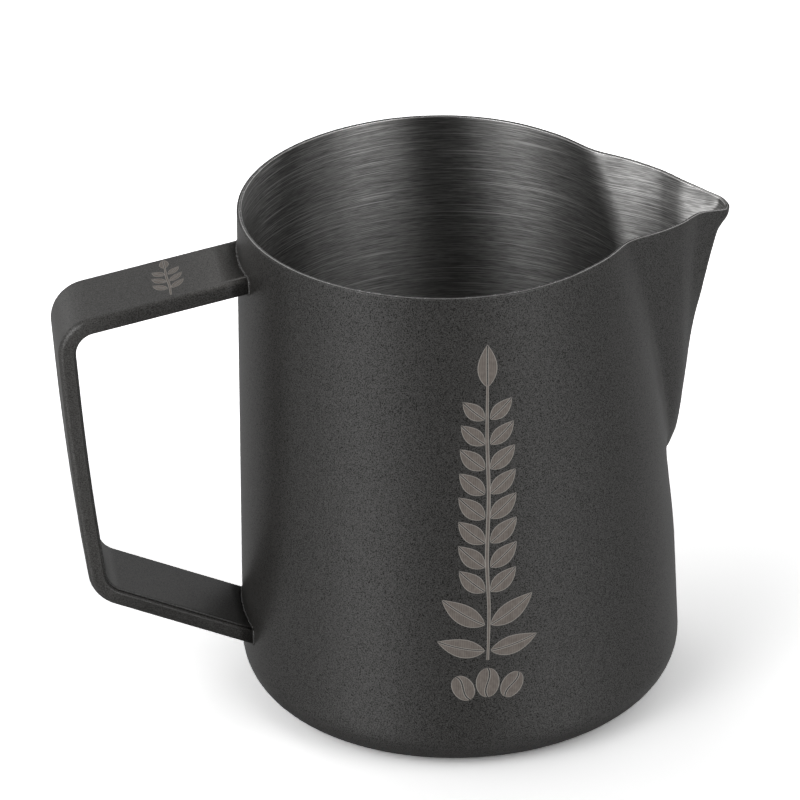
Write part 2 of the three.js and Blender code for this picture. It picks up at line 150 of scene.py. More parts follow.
def body_radius(theta, z):
    """radius of the coat's outside: wall and spout joined by a soft maximum"""
    theta, z = np.broadcast_arrays(np.asarray(theta, float), np.asarray(z, float))
    degrees = np.abs(theta) / DEG
    wall = wall_radius(degrees, z)
    share = degrees / crease_deg(z)
    centre_wall = wall_radius(np.zeros_like(degrees), z)
    upper = smooth((z - 58) / 40)
    section = section_top(share) * upper + (1 - share * share) * (1 - upper)
    flank = smooth((share - 0.08) / 0.30)
    # flank heights are scaled so that the local rim meets the top of the nose
    flank_z = SPOUT_FOOT_Z + (z - SPOUT_FOOT_Z) * (NOSE_TOP_Z - SPOUT_FOOT_Z) / (
        side_rim(share) - SPOUT_FOOT_Z)
    nose = nose_centre(z) * (1 - flank) + nose_flank(flank_z) * flank
    spout = centre_wall + (nose - centre_wall) * section
    blend = 0.02 + CREASE_BLEND * smooth((z - 46) / 8)
    joined = (wall + spout + np.sqrt((wall - spout) ** 2 + blend * blend)) / 2
    return np.where((z <= SPOUT_FOOT_Z) | (share > 2.4), wall, joined)


def rim_z(theta):
    z = np.full_like(theta, H_RIM)
    for _ in range(12):
        z = H_RIM + rim_drop(body_radius(theta, z) * np.cos(theta))
    return z


def surface(theta, z):
    """point and outward normal of the coat's outside"""
    r = body_radius(theta, z)
    dz, dt = 0.02, 0.0005
    r_theta = (body_radius(theta + dt, z) - body_radius(theta - dt, z)) / (2 * dt)
    r_z = (body_radius(theta, z + dz) - body_radius(theta, z - dz)) / (2 * dz)
    c, s = np.cos(theta), np.sin(theta)
    normal = np.stack([c + s * r_theta / r, s - c * r_theta / r, -r_z], -1)
    normal /= np.linalg.norm(normal, axis=-1, keepdims=True)
    return np.stack([r * c, r * s, z], -1), normal


# ------------------------------------------------------------------ columns that follow the crease
SPOUT_END = 1.08        # the spout's columns end here, as a share of the crease angle
MIN_SPOUT_DEG = 9
N_SPOUT, N_REST = ((95, 125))


def make_columns():
    """side, spout share and rest share of every column, once round; the unused share is nan"""
    spout = SPOUT_END * (np.linspace(0, 1, N_SPOUT + 1) ** 1.15)
    rest = np.linspace(0, 1, N_REST + 1)[1:]
    half = [(x, np.nan) for x in spout] + [(np.nan, x) for x in rest]
    plus_y = [(1, a, b) for a, b in half]
    minus_y = [(-1, a, b) for a, b in half[1:-1]][::-1]
    return np.array(plus_y + minus_y)


COLS = make_columns()
N_COLS = len(COLS)


def col_angle(z):
    width = np.maximum(crease_deg(z), MIN_SPOUT_DEG)
    last = SPOUT_END * width
    side, spout, rest = COLS.T
    in_rest = last + np.nan_to_num(rest) * (180 - last)
    return side * DEG * np.where(np.isnan(spout), in_rest, np.nan_to_num(spout) * width)


def col_rim_z():
    z = np.full(N_COLS, 103.0)
    for _ in range(14):
        z = rim_z(col_angle(z))
    return z


RIM_Z = col_rim_z()
FOOT_ANGLE = col_angle(np.full(N_COLS, BASE_FILLET))
R_FLAT = cone(BASE_FILLET) - BASE_FILLET        # the flat of the base, inside its fillet


# ------------------------------------------------------------------ rings of the body
def wall_ring(share, depth, dz=0.0):
    """ring at a share of the way from fillet to rim, set inwards by depth at its own height"""
    z = BASE_FILLET + share * (RIM_Z - BASE_FILLET) + dz
    p, normal = surface(col_angle(z), z)
    level = np.hypot(normal[:, 0], normal[:, 1])
    k = np.minimum(depth / level, 1.6 * depth) / level
    return p - np.stack([normal[:, 0] * k, normal[:, 1] * k, np.zeros(N_COLS)], -1)


def fillet_ring(angle, depth):
    """ring on the base fillet, set inwards by depth along the normal"""
    r = R_FLAT + BASE_FILLET * math.sin(angle)
    z = BASE_FILLET * (1 - math.cos(angle))
    c, s = np.cos(FOOT_ANGLE), np.sin(FOOT_ANGLE)
    p = np.stack([r * c, r * s, np.full(N_COLS, z)], -1)
    down = np.full(N_COLS, -math.cos(angle))
    return p - np.stack([c * math.sin(angle), s * math.sin(angle), down], -1) * depth


def flat_ring(r, z):
    return np.stack([r * np.cos(FOOT_ANGLE), r * np.sin(FOOT_ANGLE), np.full(N_COLS, z)], -1)


def fillet_angles(first, n):
    return np.linspace(first, 90, n) * DEG


# ------------------------------------------------------------------ mesh helpers
def make_object(name, verts, faces, mats, mat_index=None, smooth_shade=True, attrs=None):
    me = bpy.data.meshes.new(name)
    verts = np.asarray(verts, float) * MM
    me.from_pydata(verts.tolist(), [], [tuple(int(i) for i in f) for f in faces])
    me.update()
    for mat in mats:
        me.materials.append(mat)
    if mat_index is not None:
        me.polygons.foreach_set("material_index", np.asarray(mat_index, np.int32))
    me.polygons.foreach_set("use_smooth", np.full(len(me.polygons), smooth_shade))
    for key, values in (attrs or {}).items():
        attribute = me.attributes.new(key, "FLOAT", "POINT")
        attribute.data.foreach_set("value", np.asarray(values, np.float32))
    me.validate()
    me.update()
    return link(bpy.data.objects.new(name, me))


def link(obj):
    bpy.context.scene.collection.objects.link(obj)
    return obj


def register(obj, cad_piece=None):
    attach(obj, "root")
    if cad_piece:
        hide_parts(cad_piece)


def ring_faces(n, n_rings, closed):
    """quads between rings of n points; closed joins the last ring to the first"""
    faces = []
    for i in range(n_rings if closed else n_rings - 1):
        a, b = i * n, ((i + 1) % n_rings) * n
        for j in range(n):
            k = (j + 1) % n
            faces.append((a + j, a + k, b + k, b + j))
    return faces


def signed_volume(verts, faces):
    v = np.asarray(verts)
    total = 0.0
    for f in faces:
        for i in range(1, len(f) - 1):
            total += np.dot(v[f[0]], np.cross(v[f[i]], v[f[i + 1]])) / 6
    return total


def outward(verts, faces):
    return [tuple(reversed(f)) for f in faces] if signed_volume(verts, faces) < 0 else faces


def thicken(verts, normals, faces, depth):
    """a thin closed solid: a sheet and its copy set back by depth, joined along the border"""
    n = len(verts)
    solid = list(faces) + [tuple(i + n for i in reversed(f)) for f in faces]
    edges = dict.fromkeys((f[i], f[(i + 1) % len(f)]) for f in faces for i in range(len(f)))
    for a, b in edges:
        if (b, a) not in edges:
            solid.append((b, a, a + n, b + n))
    return np.vstack([verts, verts - normals * depth]), solid


# ------------------------------------------------------------------ shader helpers
class Graph:
    """Adds nodes to one tree. An input may be a plain value or a socket to link from."""

    def __init__(self, tree):
        self.tree = tree

    def feed(self, target, inputs):
        for key, value in inputs.items():
            socket = target.inputs[key]
            if isinstance(value, bpy.types.NodeSocket):
                self.tree.links.new(value, socket)
            elif socket.type == "RGBA":
                socket.default_value = (*value, 1)
            else:
                socket.default_value = value

    def node(self, kind, inputs=None, **settings):
        made = self.tree.nodes.new("ShaderNode" + kind)
        for key, value in settings.items():
            setattr(made, key, value)
        self.feed(made, inputs or {})
        return made

    def math(self, operation, *values, clamp=False):
        inputs = dict(enumerate(values))
        return self.node("Math", inputs, operation=operation, use_clamp=clamp).outputs[0]

    def add(self, a, b, clamp=False):
        return self.math("ADD", a, b, clamp=clamp)

    def mul(self, a, b):
        return self.math("MULTIPLY", a, b)

    def ramp(self, factor, *stops):
        """stops are (position, grey or colour)"""
        made = self.node("ValToRGB", {0: factor})
        elements = made.color_ramp.elements
        while len(elements) < len(stops):
            elements.new(0.5)
        for element, (position, c) in zip(elements, stops):
            element.position = position
            element.color = (c, c, c, 1) if isinstance(c, (int, float)) else (*c, 1)
        return made.outputs[0]

    def object_coords(self):
        return self.node("TexCoord").outputs["Object"]

    def coords(self, *scale):
        inputs = {"Vector": self.object_coords(), "Scale": scale}
        return self.node("Mapping", inputs).outputs[0]

    def noise(self, vector, scale, detail, rough):
        inputs = {"Vector": vector, "Scale": scale, "Detail": detail, "Roughness": rough}
        return self.node("TexNoise", inputs).outputs["Fac"]

    def mix(self, factor, a, b):
        """colour mix; sockets 6 and 7 are the node's colour inputs, output 2 its colour"""
        return self.node("Mix", {0: factor, 6: a, 7: b}, data_type="RGBA").outputs[2]

    def mix_shader(self, factor, a, b):
        return self.node("MixShader", {0: factor, 1: a, 2: b}).outputs[0]

    def bump(self, height, strength, distance):
        inputs = {"Height": height, "Strength": strength, "Distance": distance}
        return self.node("Bump", inputs).outputs[0]

    def separate(self, vector):
        return self.node("SeparateXYZ", {0: vector}).outputs

    def length(self, vector):
        return self.node("VectorMath", {0: vector}, operation="LENGTH").outputs["Value"]

    def is_camera_ray(self):
        return self.node("LightPath").outputs["Is Camera Ray"]


def new_material(name):
    mat = bpy.data.materials.new(name)
    mat.use_nodes = True
    return mat, Graph(mat.node_tree), mat.node_tree.nodes["Principled BSDF"]


# ------------------------------------------------------------------ materials
def paint_arm_light_and_shade(g, color):
    """painted light and shade along the handle's arms: painted shade dulls the flanks' colour and
    specular, and painted light makes the top paler next to the weld, where the body shades it
    """
    flank_painted_shade, top_painted_light = 0.36, 1.2
    normal = g.separate(g.node("NewGeometry").outputs["Normal"])
    place = g.separate(g.object_coords())
    x = g.add(place[0], 0.1)        # metres, moved so that the whole handle is above zero
    flank = g.ramp(g.math("ABSOLUTE", normal[1], 0.0), (0.50, 0.0), (0.85, 1.0))
    painted_flank_shade = g.mul(flank, g.ramp(x, (0.026, 0.0), (0.034, 1.0)))
    flank_shade_gain = g.math("SUBTRACT", 1.0, g.mul(painted_flank_shade, flank_painted_shade))
    top = g.ramp(normal[2], (0.5, 0.0), (0.85, 1.0))
    painted_top_light = g.mul(top, g.ramp(x, (0.045, 0.0), (0.057, 1.0)))
    painted_light_gain = g.add(flank_shade_gain, g.mul(painted_top_light, top_painted_light))
    scaled = g.node("VectorMath", operation="SCALE")
    g.feed(scaled, {0: color, "Scale": painted_light_gain})
    return scaled.outputs[0], flank_shade_gain


def coat_material(name, grain, base, rough, speck, gloss, arm=False):
    """sandy powder coat: each grain catches the light by itself, over a faint wider mottle.
    grain: grain size; speck: contrast of the grains; gloss: mean specular level"""
    fine_share, darkest, brightest = 0.88, 0.72, 0.78   # fine grain's share; tone swing of grains
    haze, haze_color = 0.06, (0.09, 0.085, 0.08)        # the wide mottle
    fleck_gain, fleck_color = 0.35, (0.16, 0.156, 0.148)
    rough_fine, rough_wide = 0.16, 0.03                 # roughness swing from each noise
    shine_swing = 1.75
    height_fine, height_mid = 0.7, 0.5
    mat, g, bsdf = new_material(name)
    at = g.coords(1, 1, 1)
    fine = g.noise(at, scale=4700 / grain, detail=1.0, rough=0.6)
    mid = g.noise(at, scale=1700 / grain, detail=2.0, rough=0.5)
    wide = g.noise(at, scale=45, detail=2.0, rough=0.5)
    pop = g.ramp(fine, (0.34, 0.0), (0.66, 1.0))
    soft = g.ramp(mid, (0.34, 0.0), (0.68, 1.0))
    lit = g.add(g.mul(pop, fine_share), g.mul(soft, 1 - fine_share))
    dark = tuple(c * (1 - darkest * speck) for c in base)
    bright = tuple(c * (1 + brightest * speck) for c in base)
    color = g.mix(lit, dark, bright)
    hazy = g.mix(haze, color, haze_color)
    color = g.mix(g.ramp(wide, (0.3, 0.0), (0.7, 1.0)), color, hazy)
    cells = g.node("TexVoronoi", {"Vector": at, "Scale": 1900 / grain}, feature="F1")
    dots = g.ramp(cells.outputs["Distance"], (0.10, 1.0), (0.30, 0.0))
    fleck = g.mul(dots, g.ramp(mid, (0.52, 0.0), (0.64, 1.0)))
    color = g.mix(g.mul(fleck, fleck_gain * speck), color, fleck_color)
    flank_shade_gain = 1.0
    # on the arms: painted shade on the flanks, painted light on the top next to the weld
    if arm:
        color, flank_shade_gain = paint_arm_light_and_shade(g, color)
    grain_rough = g.add(g.mul(fine, rough_fine), rough - rough_fine / 2)
    shine = g.mul(g.math("SUBTRACT", lit, 0.5), shine_swing * gloss * speck)
    height = g.add(g.mul(fine, height_fine), g.mul(mid, height_mid))
    g.feed(bsdf, {
        "Base Color": color,
        "Roughness": g.add(grain_rough, g.mul(wide, rough_wide)),
        "Metallic": 0.0,
        "IOR": 1.5,
        "Specular IOR Level": g.mul(g.add(shine, gloss, clamp=True), flank_shade_gain),
        "Normal": g.bump(height, strength=0.55, distance=0.00005),
    })
    return mat


def polished_material(name):
    mat, g, bsdf = new_material(name)
    cloud = g.noise(g.coords(1, 1, 1), scale=700, detail=3.0, rough=0.6)
    g.feed(bsdf, {
        "Metallic": 1.0,
        "Base Color": g.ramp(cloud, (0.3, (0.62, 0.61, 0.60)), (0.7, (0.76, 0.755, 0.75))),
        "Roughness": g.ramp(cloud, (0.3, 0.18), (0.7, 0.30)),
    })
    return mat


def brushed_material(name, radial=False):
    """steel brushed round the Z axis; radial makes the lines depend on the distance alone"""
    hair_color, shade_color = (0.80, 0.795, 0.787), (0.20, 0.198, 0.195)
    mat, g, bsdf = new_material(name)
    if radial:
        distance = g.mul(g.length(g.object_coords()), 2200.0)
        fine_at = mid_at = hair_at = g.node("CombineXYZ", {0: distance}).outputs[0]
    else:
        # far finer along Z than round the wall, so the noise draws level lines
        fine_at = g.coords(380, 380, 6800)
        mid_at = g.coords(130, 130, 4200)
        hair_at = g.coords(48, 48, 5200)
    fine = g.noise(fine_at, scale=1.0, detail=2.0, rough=0.6)
    mid = g.noise(mid_at, scale=1.0, detail=3.0, rough=0.65)
    wide = g.noise(g.coords(30, 30, 45), scale=1.0, detail=2.0, rough=0.5)
    lines = g.add(g.mul(fine, 0.5), g.mul(mid, 0.5))
    color = g.ramp(
        lines,
        (0.34, (0.143, 0.1415, 0.139)),
        (0.50, (0.335, 0.332, 0.327)),
        (0.66, (0.615, 0.611, 0.604)),
    )
    hair = g.noise(hair_at, scale=1.0, detail=0.0, rough=0.5)
    color = g.mix(g.ramp(hair, (0.66, 0.0), (0.74, 0.85)), color, hair_color)
    color = g.mix(g.ramp(wide, (0.35, 0.0), (0.7, 0.20)), color, shade_color)
    g.feed(bsdf, {
        "Metallic": 1.0,
        "Base Color": color,
        "Roughness": g.ramp(lines, (0.3, 0.44), (0.7, 0.34)),
        "Anisotropic": 0.95,
        "Anisotropic Rotation": 0.25,
        "Tangent": g.node("Tangent", direction_type="RADIAL", axis="Z").outputs[0],
        "Normal": g.bump(lines, strength=0.30, distance=0.00003),
    })
    return mat


def mark_material(name, lines_axis):
    """metal laid bare by a laser: taupe grey, fine raster lines, a paler line along the edge"""
    raster_share, edge_color = 0.28, (0.44, 0.415, 0.385)
    mat, g, bsdf = new_material(name)
    edge = g.node("Attribute", attribute_name="edge").outputs["Fac"]
    at = g.coords(1, 1, 1)
    cloud = g.noise(at, scale=1100, detail=3.0, rough=0.6)
    wave = {"Vector": at, "Scale": 900.0, "Distortion": 1.2, "Detail": 2.0}
    raster = g.node("TexWave", wave, wave_type="BANDS", bands_direction=lines_axis).outputs["Fac"]
    tone = g.add(g.mul(raster, raster_share), g.mul(cloud, 1 - raster_share))
    color = g.ramp(tone, (0.25, (0.150, 0.128, 0.113)), (0.75, (0.262, 0.232, 0.208)))
    g.feed(bsdf, {
        "Base Color": g.mix(g.ramp(edge, (0.15, 0.0), (0.75, 1.0)), color, edge_color),
        "Metallic": 0.35,
        "Roughness": g.ramp(tone, (0.3, 0.58), (0.7, 0.44)),
        "Normal": g.bump(tone, strength=0.2, distance=0.00003),
    })
    return mat


MAT_COAT = coat_material(
    "powder_coat_body", grain=1.0, base=(0.0252, 0.0242, 0.0228), rough=0.34, speck=0.95,
    gloss=0.75)
# the handle's coat carries painted shade on the arms' flanks and painted light on the top by the
# weld
MAT_HANDLE = coat_material(
    "powder_coat_handle", grain=1.2, base=(0.0455, 0.0438, 0.0414), rough=0.36, speck=0.55,
    gloss=0.66, arm=True)
MAT_PLATE = coat_material(
    "powder_coat_plate", grain=1.1, base=(0.0285, 0.0274, 0.0258), rough=0.36, speck=0.55,
    gloss=0.76)
MAT_WELD = coat_material(
    "powder_coat_weld", grain=0.9, base=(0.0320, 0.0307, 0.0290), rough=0.34, speck=0.8,
    gloss=0.74)
MAT_STEEL = brushed_material("brushed_steel_inside")
MAT_STEEL_BASE = brushed_material("brushed_steel_base", radial=True)
MAT_RIM = polished_material("polished_steel_rim")
MAT_MARK = mark_material("etched_mark_body", "X")
MAT_MARK_H = mark_material("etched_mark_handle", "Y")

# ------------------------------------------------------------------ body shell and coat
SHELL_OUT = COAT_T + COAT_GAP
SHELL_IN = SHELL_OUT + SHELL_T
ROWS_RIM_Z = 100.05     # height at the spout centre that counts as a share of 1


def wall_rows(parts):
    """shares for wall_ring, above the fillet; parts are (from z, to z, rows) at the spout centre"""
    z = [np.linspace(a, b, n, endpoint=False) for a, b, n in parts]
    z = np.concatenate(z + [[parts[-1][1]]])
    return ((z - BASE_FILLET) / (ROWS_RIM_Z - BASE_FILLET))[1:]


FINE = wall_rows([(BASE_FILLET, 40, 12), (40, 45, 6), (45, 56, 22), (56, 90, 26), (90, 99.6, 18)])
COARSE = wall_rows([(BASE_FILLET, 40, 4), (40, 56, 10), (56, 90, 8), (90, 99.6, 8)])
# edges at the rim, from outside to inside: depth, height above the rim
COAT_EDGE = [
    (0.0, -0.24), (0.02, -0.15), (0.07, -0.075), (0.15, -0.03), (0.24, -0.008),
    (0.32, -0.004), (0.36, -0.03), (0.30, -0.09), (0.20, -0.16), (0.125, -0.27),
]
SHELL_EDGE = [
    (0.15, -0.32), (0.19, -0.23), (0.26, -0.15), (0.34, -0.09), (0.385, -0.04),
    (0.42, -0.01), (0.47, 0.0), (0.56, 0.0), (0.66, 0.0), (0.76, 0.0),
    (0.84, -0.004), (0.885, -0.018), (0.92, -0.045), (0.943, -0.09), (0.95, -0.2),
]
BRUSHED, BASE, POLISHED = 0, 1, 2       # the shell's material slots


def build_coat():
    """up the outside, round the rim's outer corner, and back down under itself"""
    rings = [fillet_ring(a, 0) for a in fillet_angles(6, 14)]
    rings += [wall_ring(t, 0) for t in FINE]
    rings += [wall_ring(1.0, depth, dz) for depth, dz in COAT_EDGE]
    rings += [wall_ring(t, COAT_T) for t in COARSE[::-1]]
    rings += [fillet_ring(a, COAT_T) for a in fillet_angles(6, 6)[::-1]]
    verts = np.vstack(rings)
    faces = outward(verts, ring_faces(N_COLS, len(rings), True))
    coat = make_object("body_coat_skin", verts, faces, [MAT_COAT])
    register(coat, "body_coating")


def build_shell():
    """hidden outside, rounded polished edge, brushed inside"""
    rings, slots = [], []

    def add(slot, more):
        rings.extend(more)
        slots.extend([slot] * len(more))

    add(BASE, [flat_ring(R_FLAT * k, 0) for k in (0.35, 0.75, 1)])
    add(BASE, [fillet_ring(a, SHELL_OUT) for a in fillet_angles(6, 6)])
    add(BRUSHED, [wall_ring(t, SHELL_OUT) for t in COARSE])
    add(POLISHED, [wall_ring(1.0, depth, dz) for depth, dz in SHELL_EDGE[:-2]])
    add(BRUSHED, [wall_ring(1.0, depth, dz) for depth, dz in SHELL_EDGE[-2:]])
    add(BRUSHED, [wall_ring(t, SHELL_IN) for t in FINE[::-1]])
    add(BRUSHED, [fillet_ring(a, SHELL_IN) for a in fillet_angles(4, 12)[::-1]])
    add(BASE, [flat_ring(R_FLAT * k, SHELL_IN) for k in (1.0, 0.9, 0.75, 0.55, 0.35)])
    faces = ring_faces(N_COLS, len(rings), False)
    face_slots = np.repeat(np.array(slots[:-1]), N_COLS).tolist()
    # fans close the underside and the inside of the base
    last = (len(rings) - 1) * N_COLS
    under = len(rings) * N_COLS
    verts = np.vstack(rings + [[[0, 0, 0], [0, 0, SHELL_IN]]])
    for j in range(N_COLS):
        k = (j + 1) % N_COLS
        faces.append((k, j, under))
        faces.append((last + j, last + k, under + 1))
        face_slots += [BASE, BASE]
    shell = make_object("body_shell_drawn", verts, outward(verts, faces),
                        [MAT_STEEL, MAT_STEEL_BASE, MAT_RIM], face_slots)
    register(shell, "body_shell")


build_coat()
build_shell()

# ------------------------------------------------------------------ handle
END_STEP = 9.0          # first and last stretch, which run into the body
STATION_PITCH = 2.5     # along the straights


def straight(start, end, side):
    """stations after start, up to and including end"""
    steps = max(2, int(np.linalg.norm(end - start) / STATION_PITCH))
    return [(start + (end - start) * k / steps, side) for k in range(1, steps + 1)]


def handle_stations():
    """points in XZ along the strap's outside, each with the direction away from the handle's hole"""
    points = [np.array(row[:2]) for row in HANDLE_PATH]
    legs = [(b - a) / np.linalg.norm(b - a) for a, b in zip(points, points[1:])]
    sides = [np.array([leg[1], -leg[0]]) for leg in legs]
    stations = [(points[0], sides[0]), (points[0] + legs[0] * END_STEP, sides[0])]
    for i in range(1, len(points) - 1):
        radius, segments = HANDLE_PATH[i][2:]
        side = sides[i - 1]
        turn = math.acos(min(1.0, float(legs[i - 1] @ legs[i])))
        bend_start = points[i] - legs[i - 1] * (radius * math.tan(turn / 2))
        stations += straight(stations[-1][0], bend_start, side)[:-1]
        centre = bend_start - side * radius
        for k in range(segments + 1):
            c, s = math.cos(turn * k / segments), math.sin(turn * k / segments)
            turned = np.array([side[0] * c - side[1] * s, side[0] * s + side[1] * c])
            stations.append((centre + turned * radius, turned))
    stations += straight(stations[-1][0], points[-1] - legs[-1] * END_STEP, sides[-1])
    stations.append((points[-1], sides[-1]))
    return stations


STATIONS = handle_stations()


# Strap sections are lists of (y, height), with height 0 on the outside face, negative inwards.
def place(station, section):
    p, side = station
    section = np.asarray(section, float)
    y, height = section[:, 0], section[:, 1]
    return np.stack([p[0] + side[0] * height, y, p[1] + side[1] * height], -1)


def end_points(end, inner, section, gap):
    """section carried from the inner station towards the end until it is gap off the body"""
    start = place(inner, section)
    along = (place(end, section) - start)[0]
    along = along / np.linalg.norm(along)
    lo, hi = np.full(len(start), -6.0), np.full(len(start), 14.0)
    for _ in range(45):
        mid = (lo + hi) / 2
        p = start + along * mid[:, None]
        theta = np.arctan2(p[:, 1], p[:, 0])
        clear = np.hypot(p[:, 0], p[:, 1]) - body_radius(theta, p[:, 2]) - gap
        lo, hi = np.where(clear > 0, mid, lo), np.where(clear > 0, hi, mid)
    return start + along * lo[:, None]


def arc(y, height, radius, start, end, n):
    t = np.linspace(start, end, n + 1) * DEG
    return [(y + radius * math.cos(a), height + radius * math.sin(a)) for a in t]


def flat(y0, y1, height, n):
    """the points between y0 and y1, without the ends"""
    return [(y0 + (y1 - y0) * i / n, height) for i in range(1, n)]


def mirrored(points):
    return [(-y, height) for y, height in reversed(points)]


def sweep(name, outer, inner, mat, cad_piece):
    """outer and inner are edge lines of the section with the same number of points"""
    section = np.array(outer + inner[::-1])
    half, n = len(outer), 2 * len(outer)
    rings = [end_points(STATIONS[0], STATIONS[1], section, HANDLE_GAP)]
    rings += [place(station, section) for station in STATIONS[1:-1]]
    rings.append(end_points(STATIONS[-1], STATIONS[-2], section, HANDLE_GAP))
    verts = np.vstack(rings)
    faces = ring_faces(n, len(rings), False)
    last = (len(rings) - 1) * n
    for i in range(half - 1):
        a, b, c, d = i, i + 1, n - 2 - i, n - 1 - i
        faces.append((b, a, d, c))
        faces.append((last + a, last + b, last + c, last + d))
    register(make_object(name, verts, outward(verts, faces), [mat]), cad_piece)


HALF_W = STRAP_W / 2
SHOULDER_Y = HALF_W - STRAP_SHOULDER
INNER_Y = HALF_W - STRAP_WALL
LIP_Y, LIP_H = HALF_W - LIP_R, -STRAP_T + LIP_R
FLAT_N = 22
# inner corner of the channel: y from the inner wall, height
CHANNEL_CORNER = [
    (0, -2.5), (0, -2.3), (0, -2.1), (0, -1.95), (0, -1.8), (0, -1.7), (0, -1.55), (0, -1.4),
    (0.02, -1.3), (0.06, -1.2), (0.12, -1.1), (0.2, -1.02), (0.3, -0.96), (0.4, -0.92),
    (0.5, -STRAP_WALL), (0.7, -STRAP_WALL),
]
PLATE_Y = INNER_Y - PLATE_CLEAR
PLATE_BOTTOM = -STRAP_T - PLATE_PROUD
PLATE_TOP = PLATE_BOTTOM + PLATE_T
PLATE_R = 0.20
PLATE_R_Y, PLATE_R_H = PLATE_Y - PLATE_R, PLATE_BOTTOM + PLATE_R
PLATE_FLAT_IN = 0.2
# upper corner of the plate: y from its side, height from its top
PLATE_CORNER = [(0, -0.30), (0, -0.2), (0, -0.1), (0.03, -0.03), (0.1, 0), (PLATE_FLAT_IN, 0)]


def build_channel():
    outer = (
        arc(-LIP_Y, LIP_H, LIP_R, 270, 180, 9)
        + arc(-SHOULDER_Y, -STRAP_SHOULDER, STRAP_SHOULDER, 180, 90, 16)
        + flat(-SHOULDER_Y, SHOULDER_Y, 0.0, FLAT_N)
        + arc(SHOULDER_Y, -STRAP_SHOULDER, STRAP_SHOULDER, 90, 0, 16)
        + arc(LIP_Y, LIP_H, LIP_R, 360, 270, 9)
    )
    edge = arc(-LIP_Y, LIP_H, LIP_R, 270, 360, 9)
    edge += [(-INNER_Y + dy, height) for dy, height in CHANNEL_CORNER]
    edge.append((-SHOULDER_Y, -STRAP_WALL))
    inner = edge + flat(-SHOULDER_Y, SHOULDER_Y, -STRAP_WALL, FLAT_N) + mirrored(edge)
    sweep("handle_channel_pressed", outer, inner, MAT_HANDLE, "handle_outer_channel")


def build_plate():
    corner = [(-PLATE_Y + dy, PLATE_TOP + dh) for dy, dh in PLATE_CORNER]
    flat_y = PLATE_Y - PLATE_FLAT_IN
    outer = corner + flat(-flat_y, flat_y, PLATE_TOP, FLAT_N) + mirrored(corner)
    inner = (
        arc(-PLATE_R_Y, PLATE_R_H, PLATE_R, 180, 270, 5)
        + flat(-PLATE_R_Y, PLATE_R_Y, PLATE_BOTTOM, FLAT_N)
        + arc(PLATE_R_Y, PLATE_R_H, PLATE_R, 270, 360, 5)
    )
    sweep("handle_closing_strip", outer, inner, MAT_PLATE, "handle_inner_plate")


build_channel()
build_plate()

# ------------------------------------------------------------------ weld beads
BEAD_N = 360
BEAD_WIDTH, BEAD_BACK = 0.34, 0.32      # mean size over the body, and back along the strap


def bead_outline():
    """once round channel and plate together, bridging the groove between them"""
    outline = arc(-SHOULDER_Y, -STRAP_SHOULDER, STRAP_SHOULDER, 180, 90, 12)
    outline += flat(-SHOULDER_Y, SHOULDER_Y, 0.0, 44)
    outline += arc(SHOULDER_Y, -STRAP_SHOULDER, STRAP_SHOULDER, 90, 0, 12)
    outline += [(HALF_W, -1.9), (HALF_W, -2.3)] + arc(LIP_Y, LIP_H, LIP_R, 360, 280, 6)
    outline += [(PLATE_Y + 0.06, -3.16), (PLATE_Y + 0.01, -3.32)]
    outline += arc(PLATE_R_Y, PLATE_R_H, PLATE_R, 350, 270, 4)
    outline += flat(PLATE_R_Y, -PLATE_R_Y, PLATE_BOTTOM, 44)
    outline += arc(-PLATE_R_Y, PLATE_R_H, PLATE_R, 270, 190, 4)
    outline += [(-PLATE_Y - 0.01, -3.32), (-PLATE_Y - 0.06, -3.16)]
    outline += arc(-LIP_Y, LIP_H, LIP_R, 260, 180, 6) + [(-HALF_W, -2.3), (-HALF_W, -1.9)]
    return outline


def wobble(seed, waves):
    rng = np.random.RandomState(seed)
    t = np.linspace(0, 2 * math.pi, BEAD_N, endpoint=False)
    total = np.zeros(BEAD_N)
    for k in waves:
        total += rng.normal() * np.cos(k * t + rng.uniform(0, 6.3))
    return total / math.sqrt(len(waves) / 2)


def bead_size(mean, seed):
    slow, quick = wobble(seed, range(5, 40)), wobble(seed + 1, range(40, 90))
    return (mean * (1 + 0.13 * slow + 0.06 * quick))[:, None]


def run_lengths(line):
    steps = np.linalg.norm(np.diff(line, axis=0), axis=1)
    return np.concatenate([[0], np.cumsum(steps)])


def resample_loop(loop, n):
    line = np.vstack([loop, loop[:1]])
    run = run_lengths(line)
    t = np.linspace(0, run[-1], n, endpoint=False)
    return np.stack([np.interp(t, run, line[:, k]) for k in range(line.shape[1])], -1)


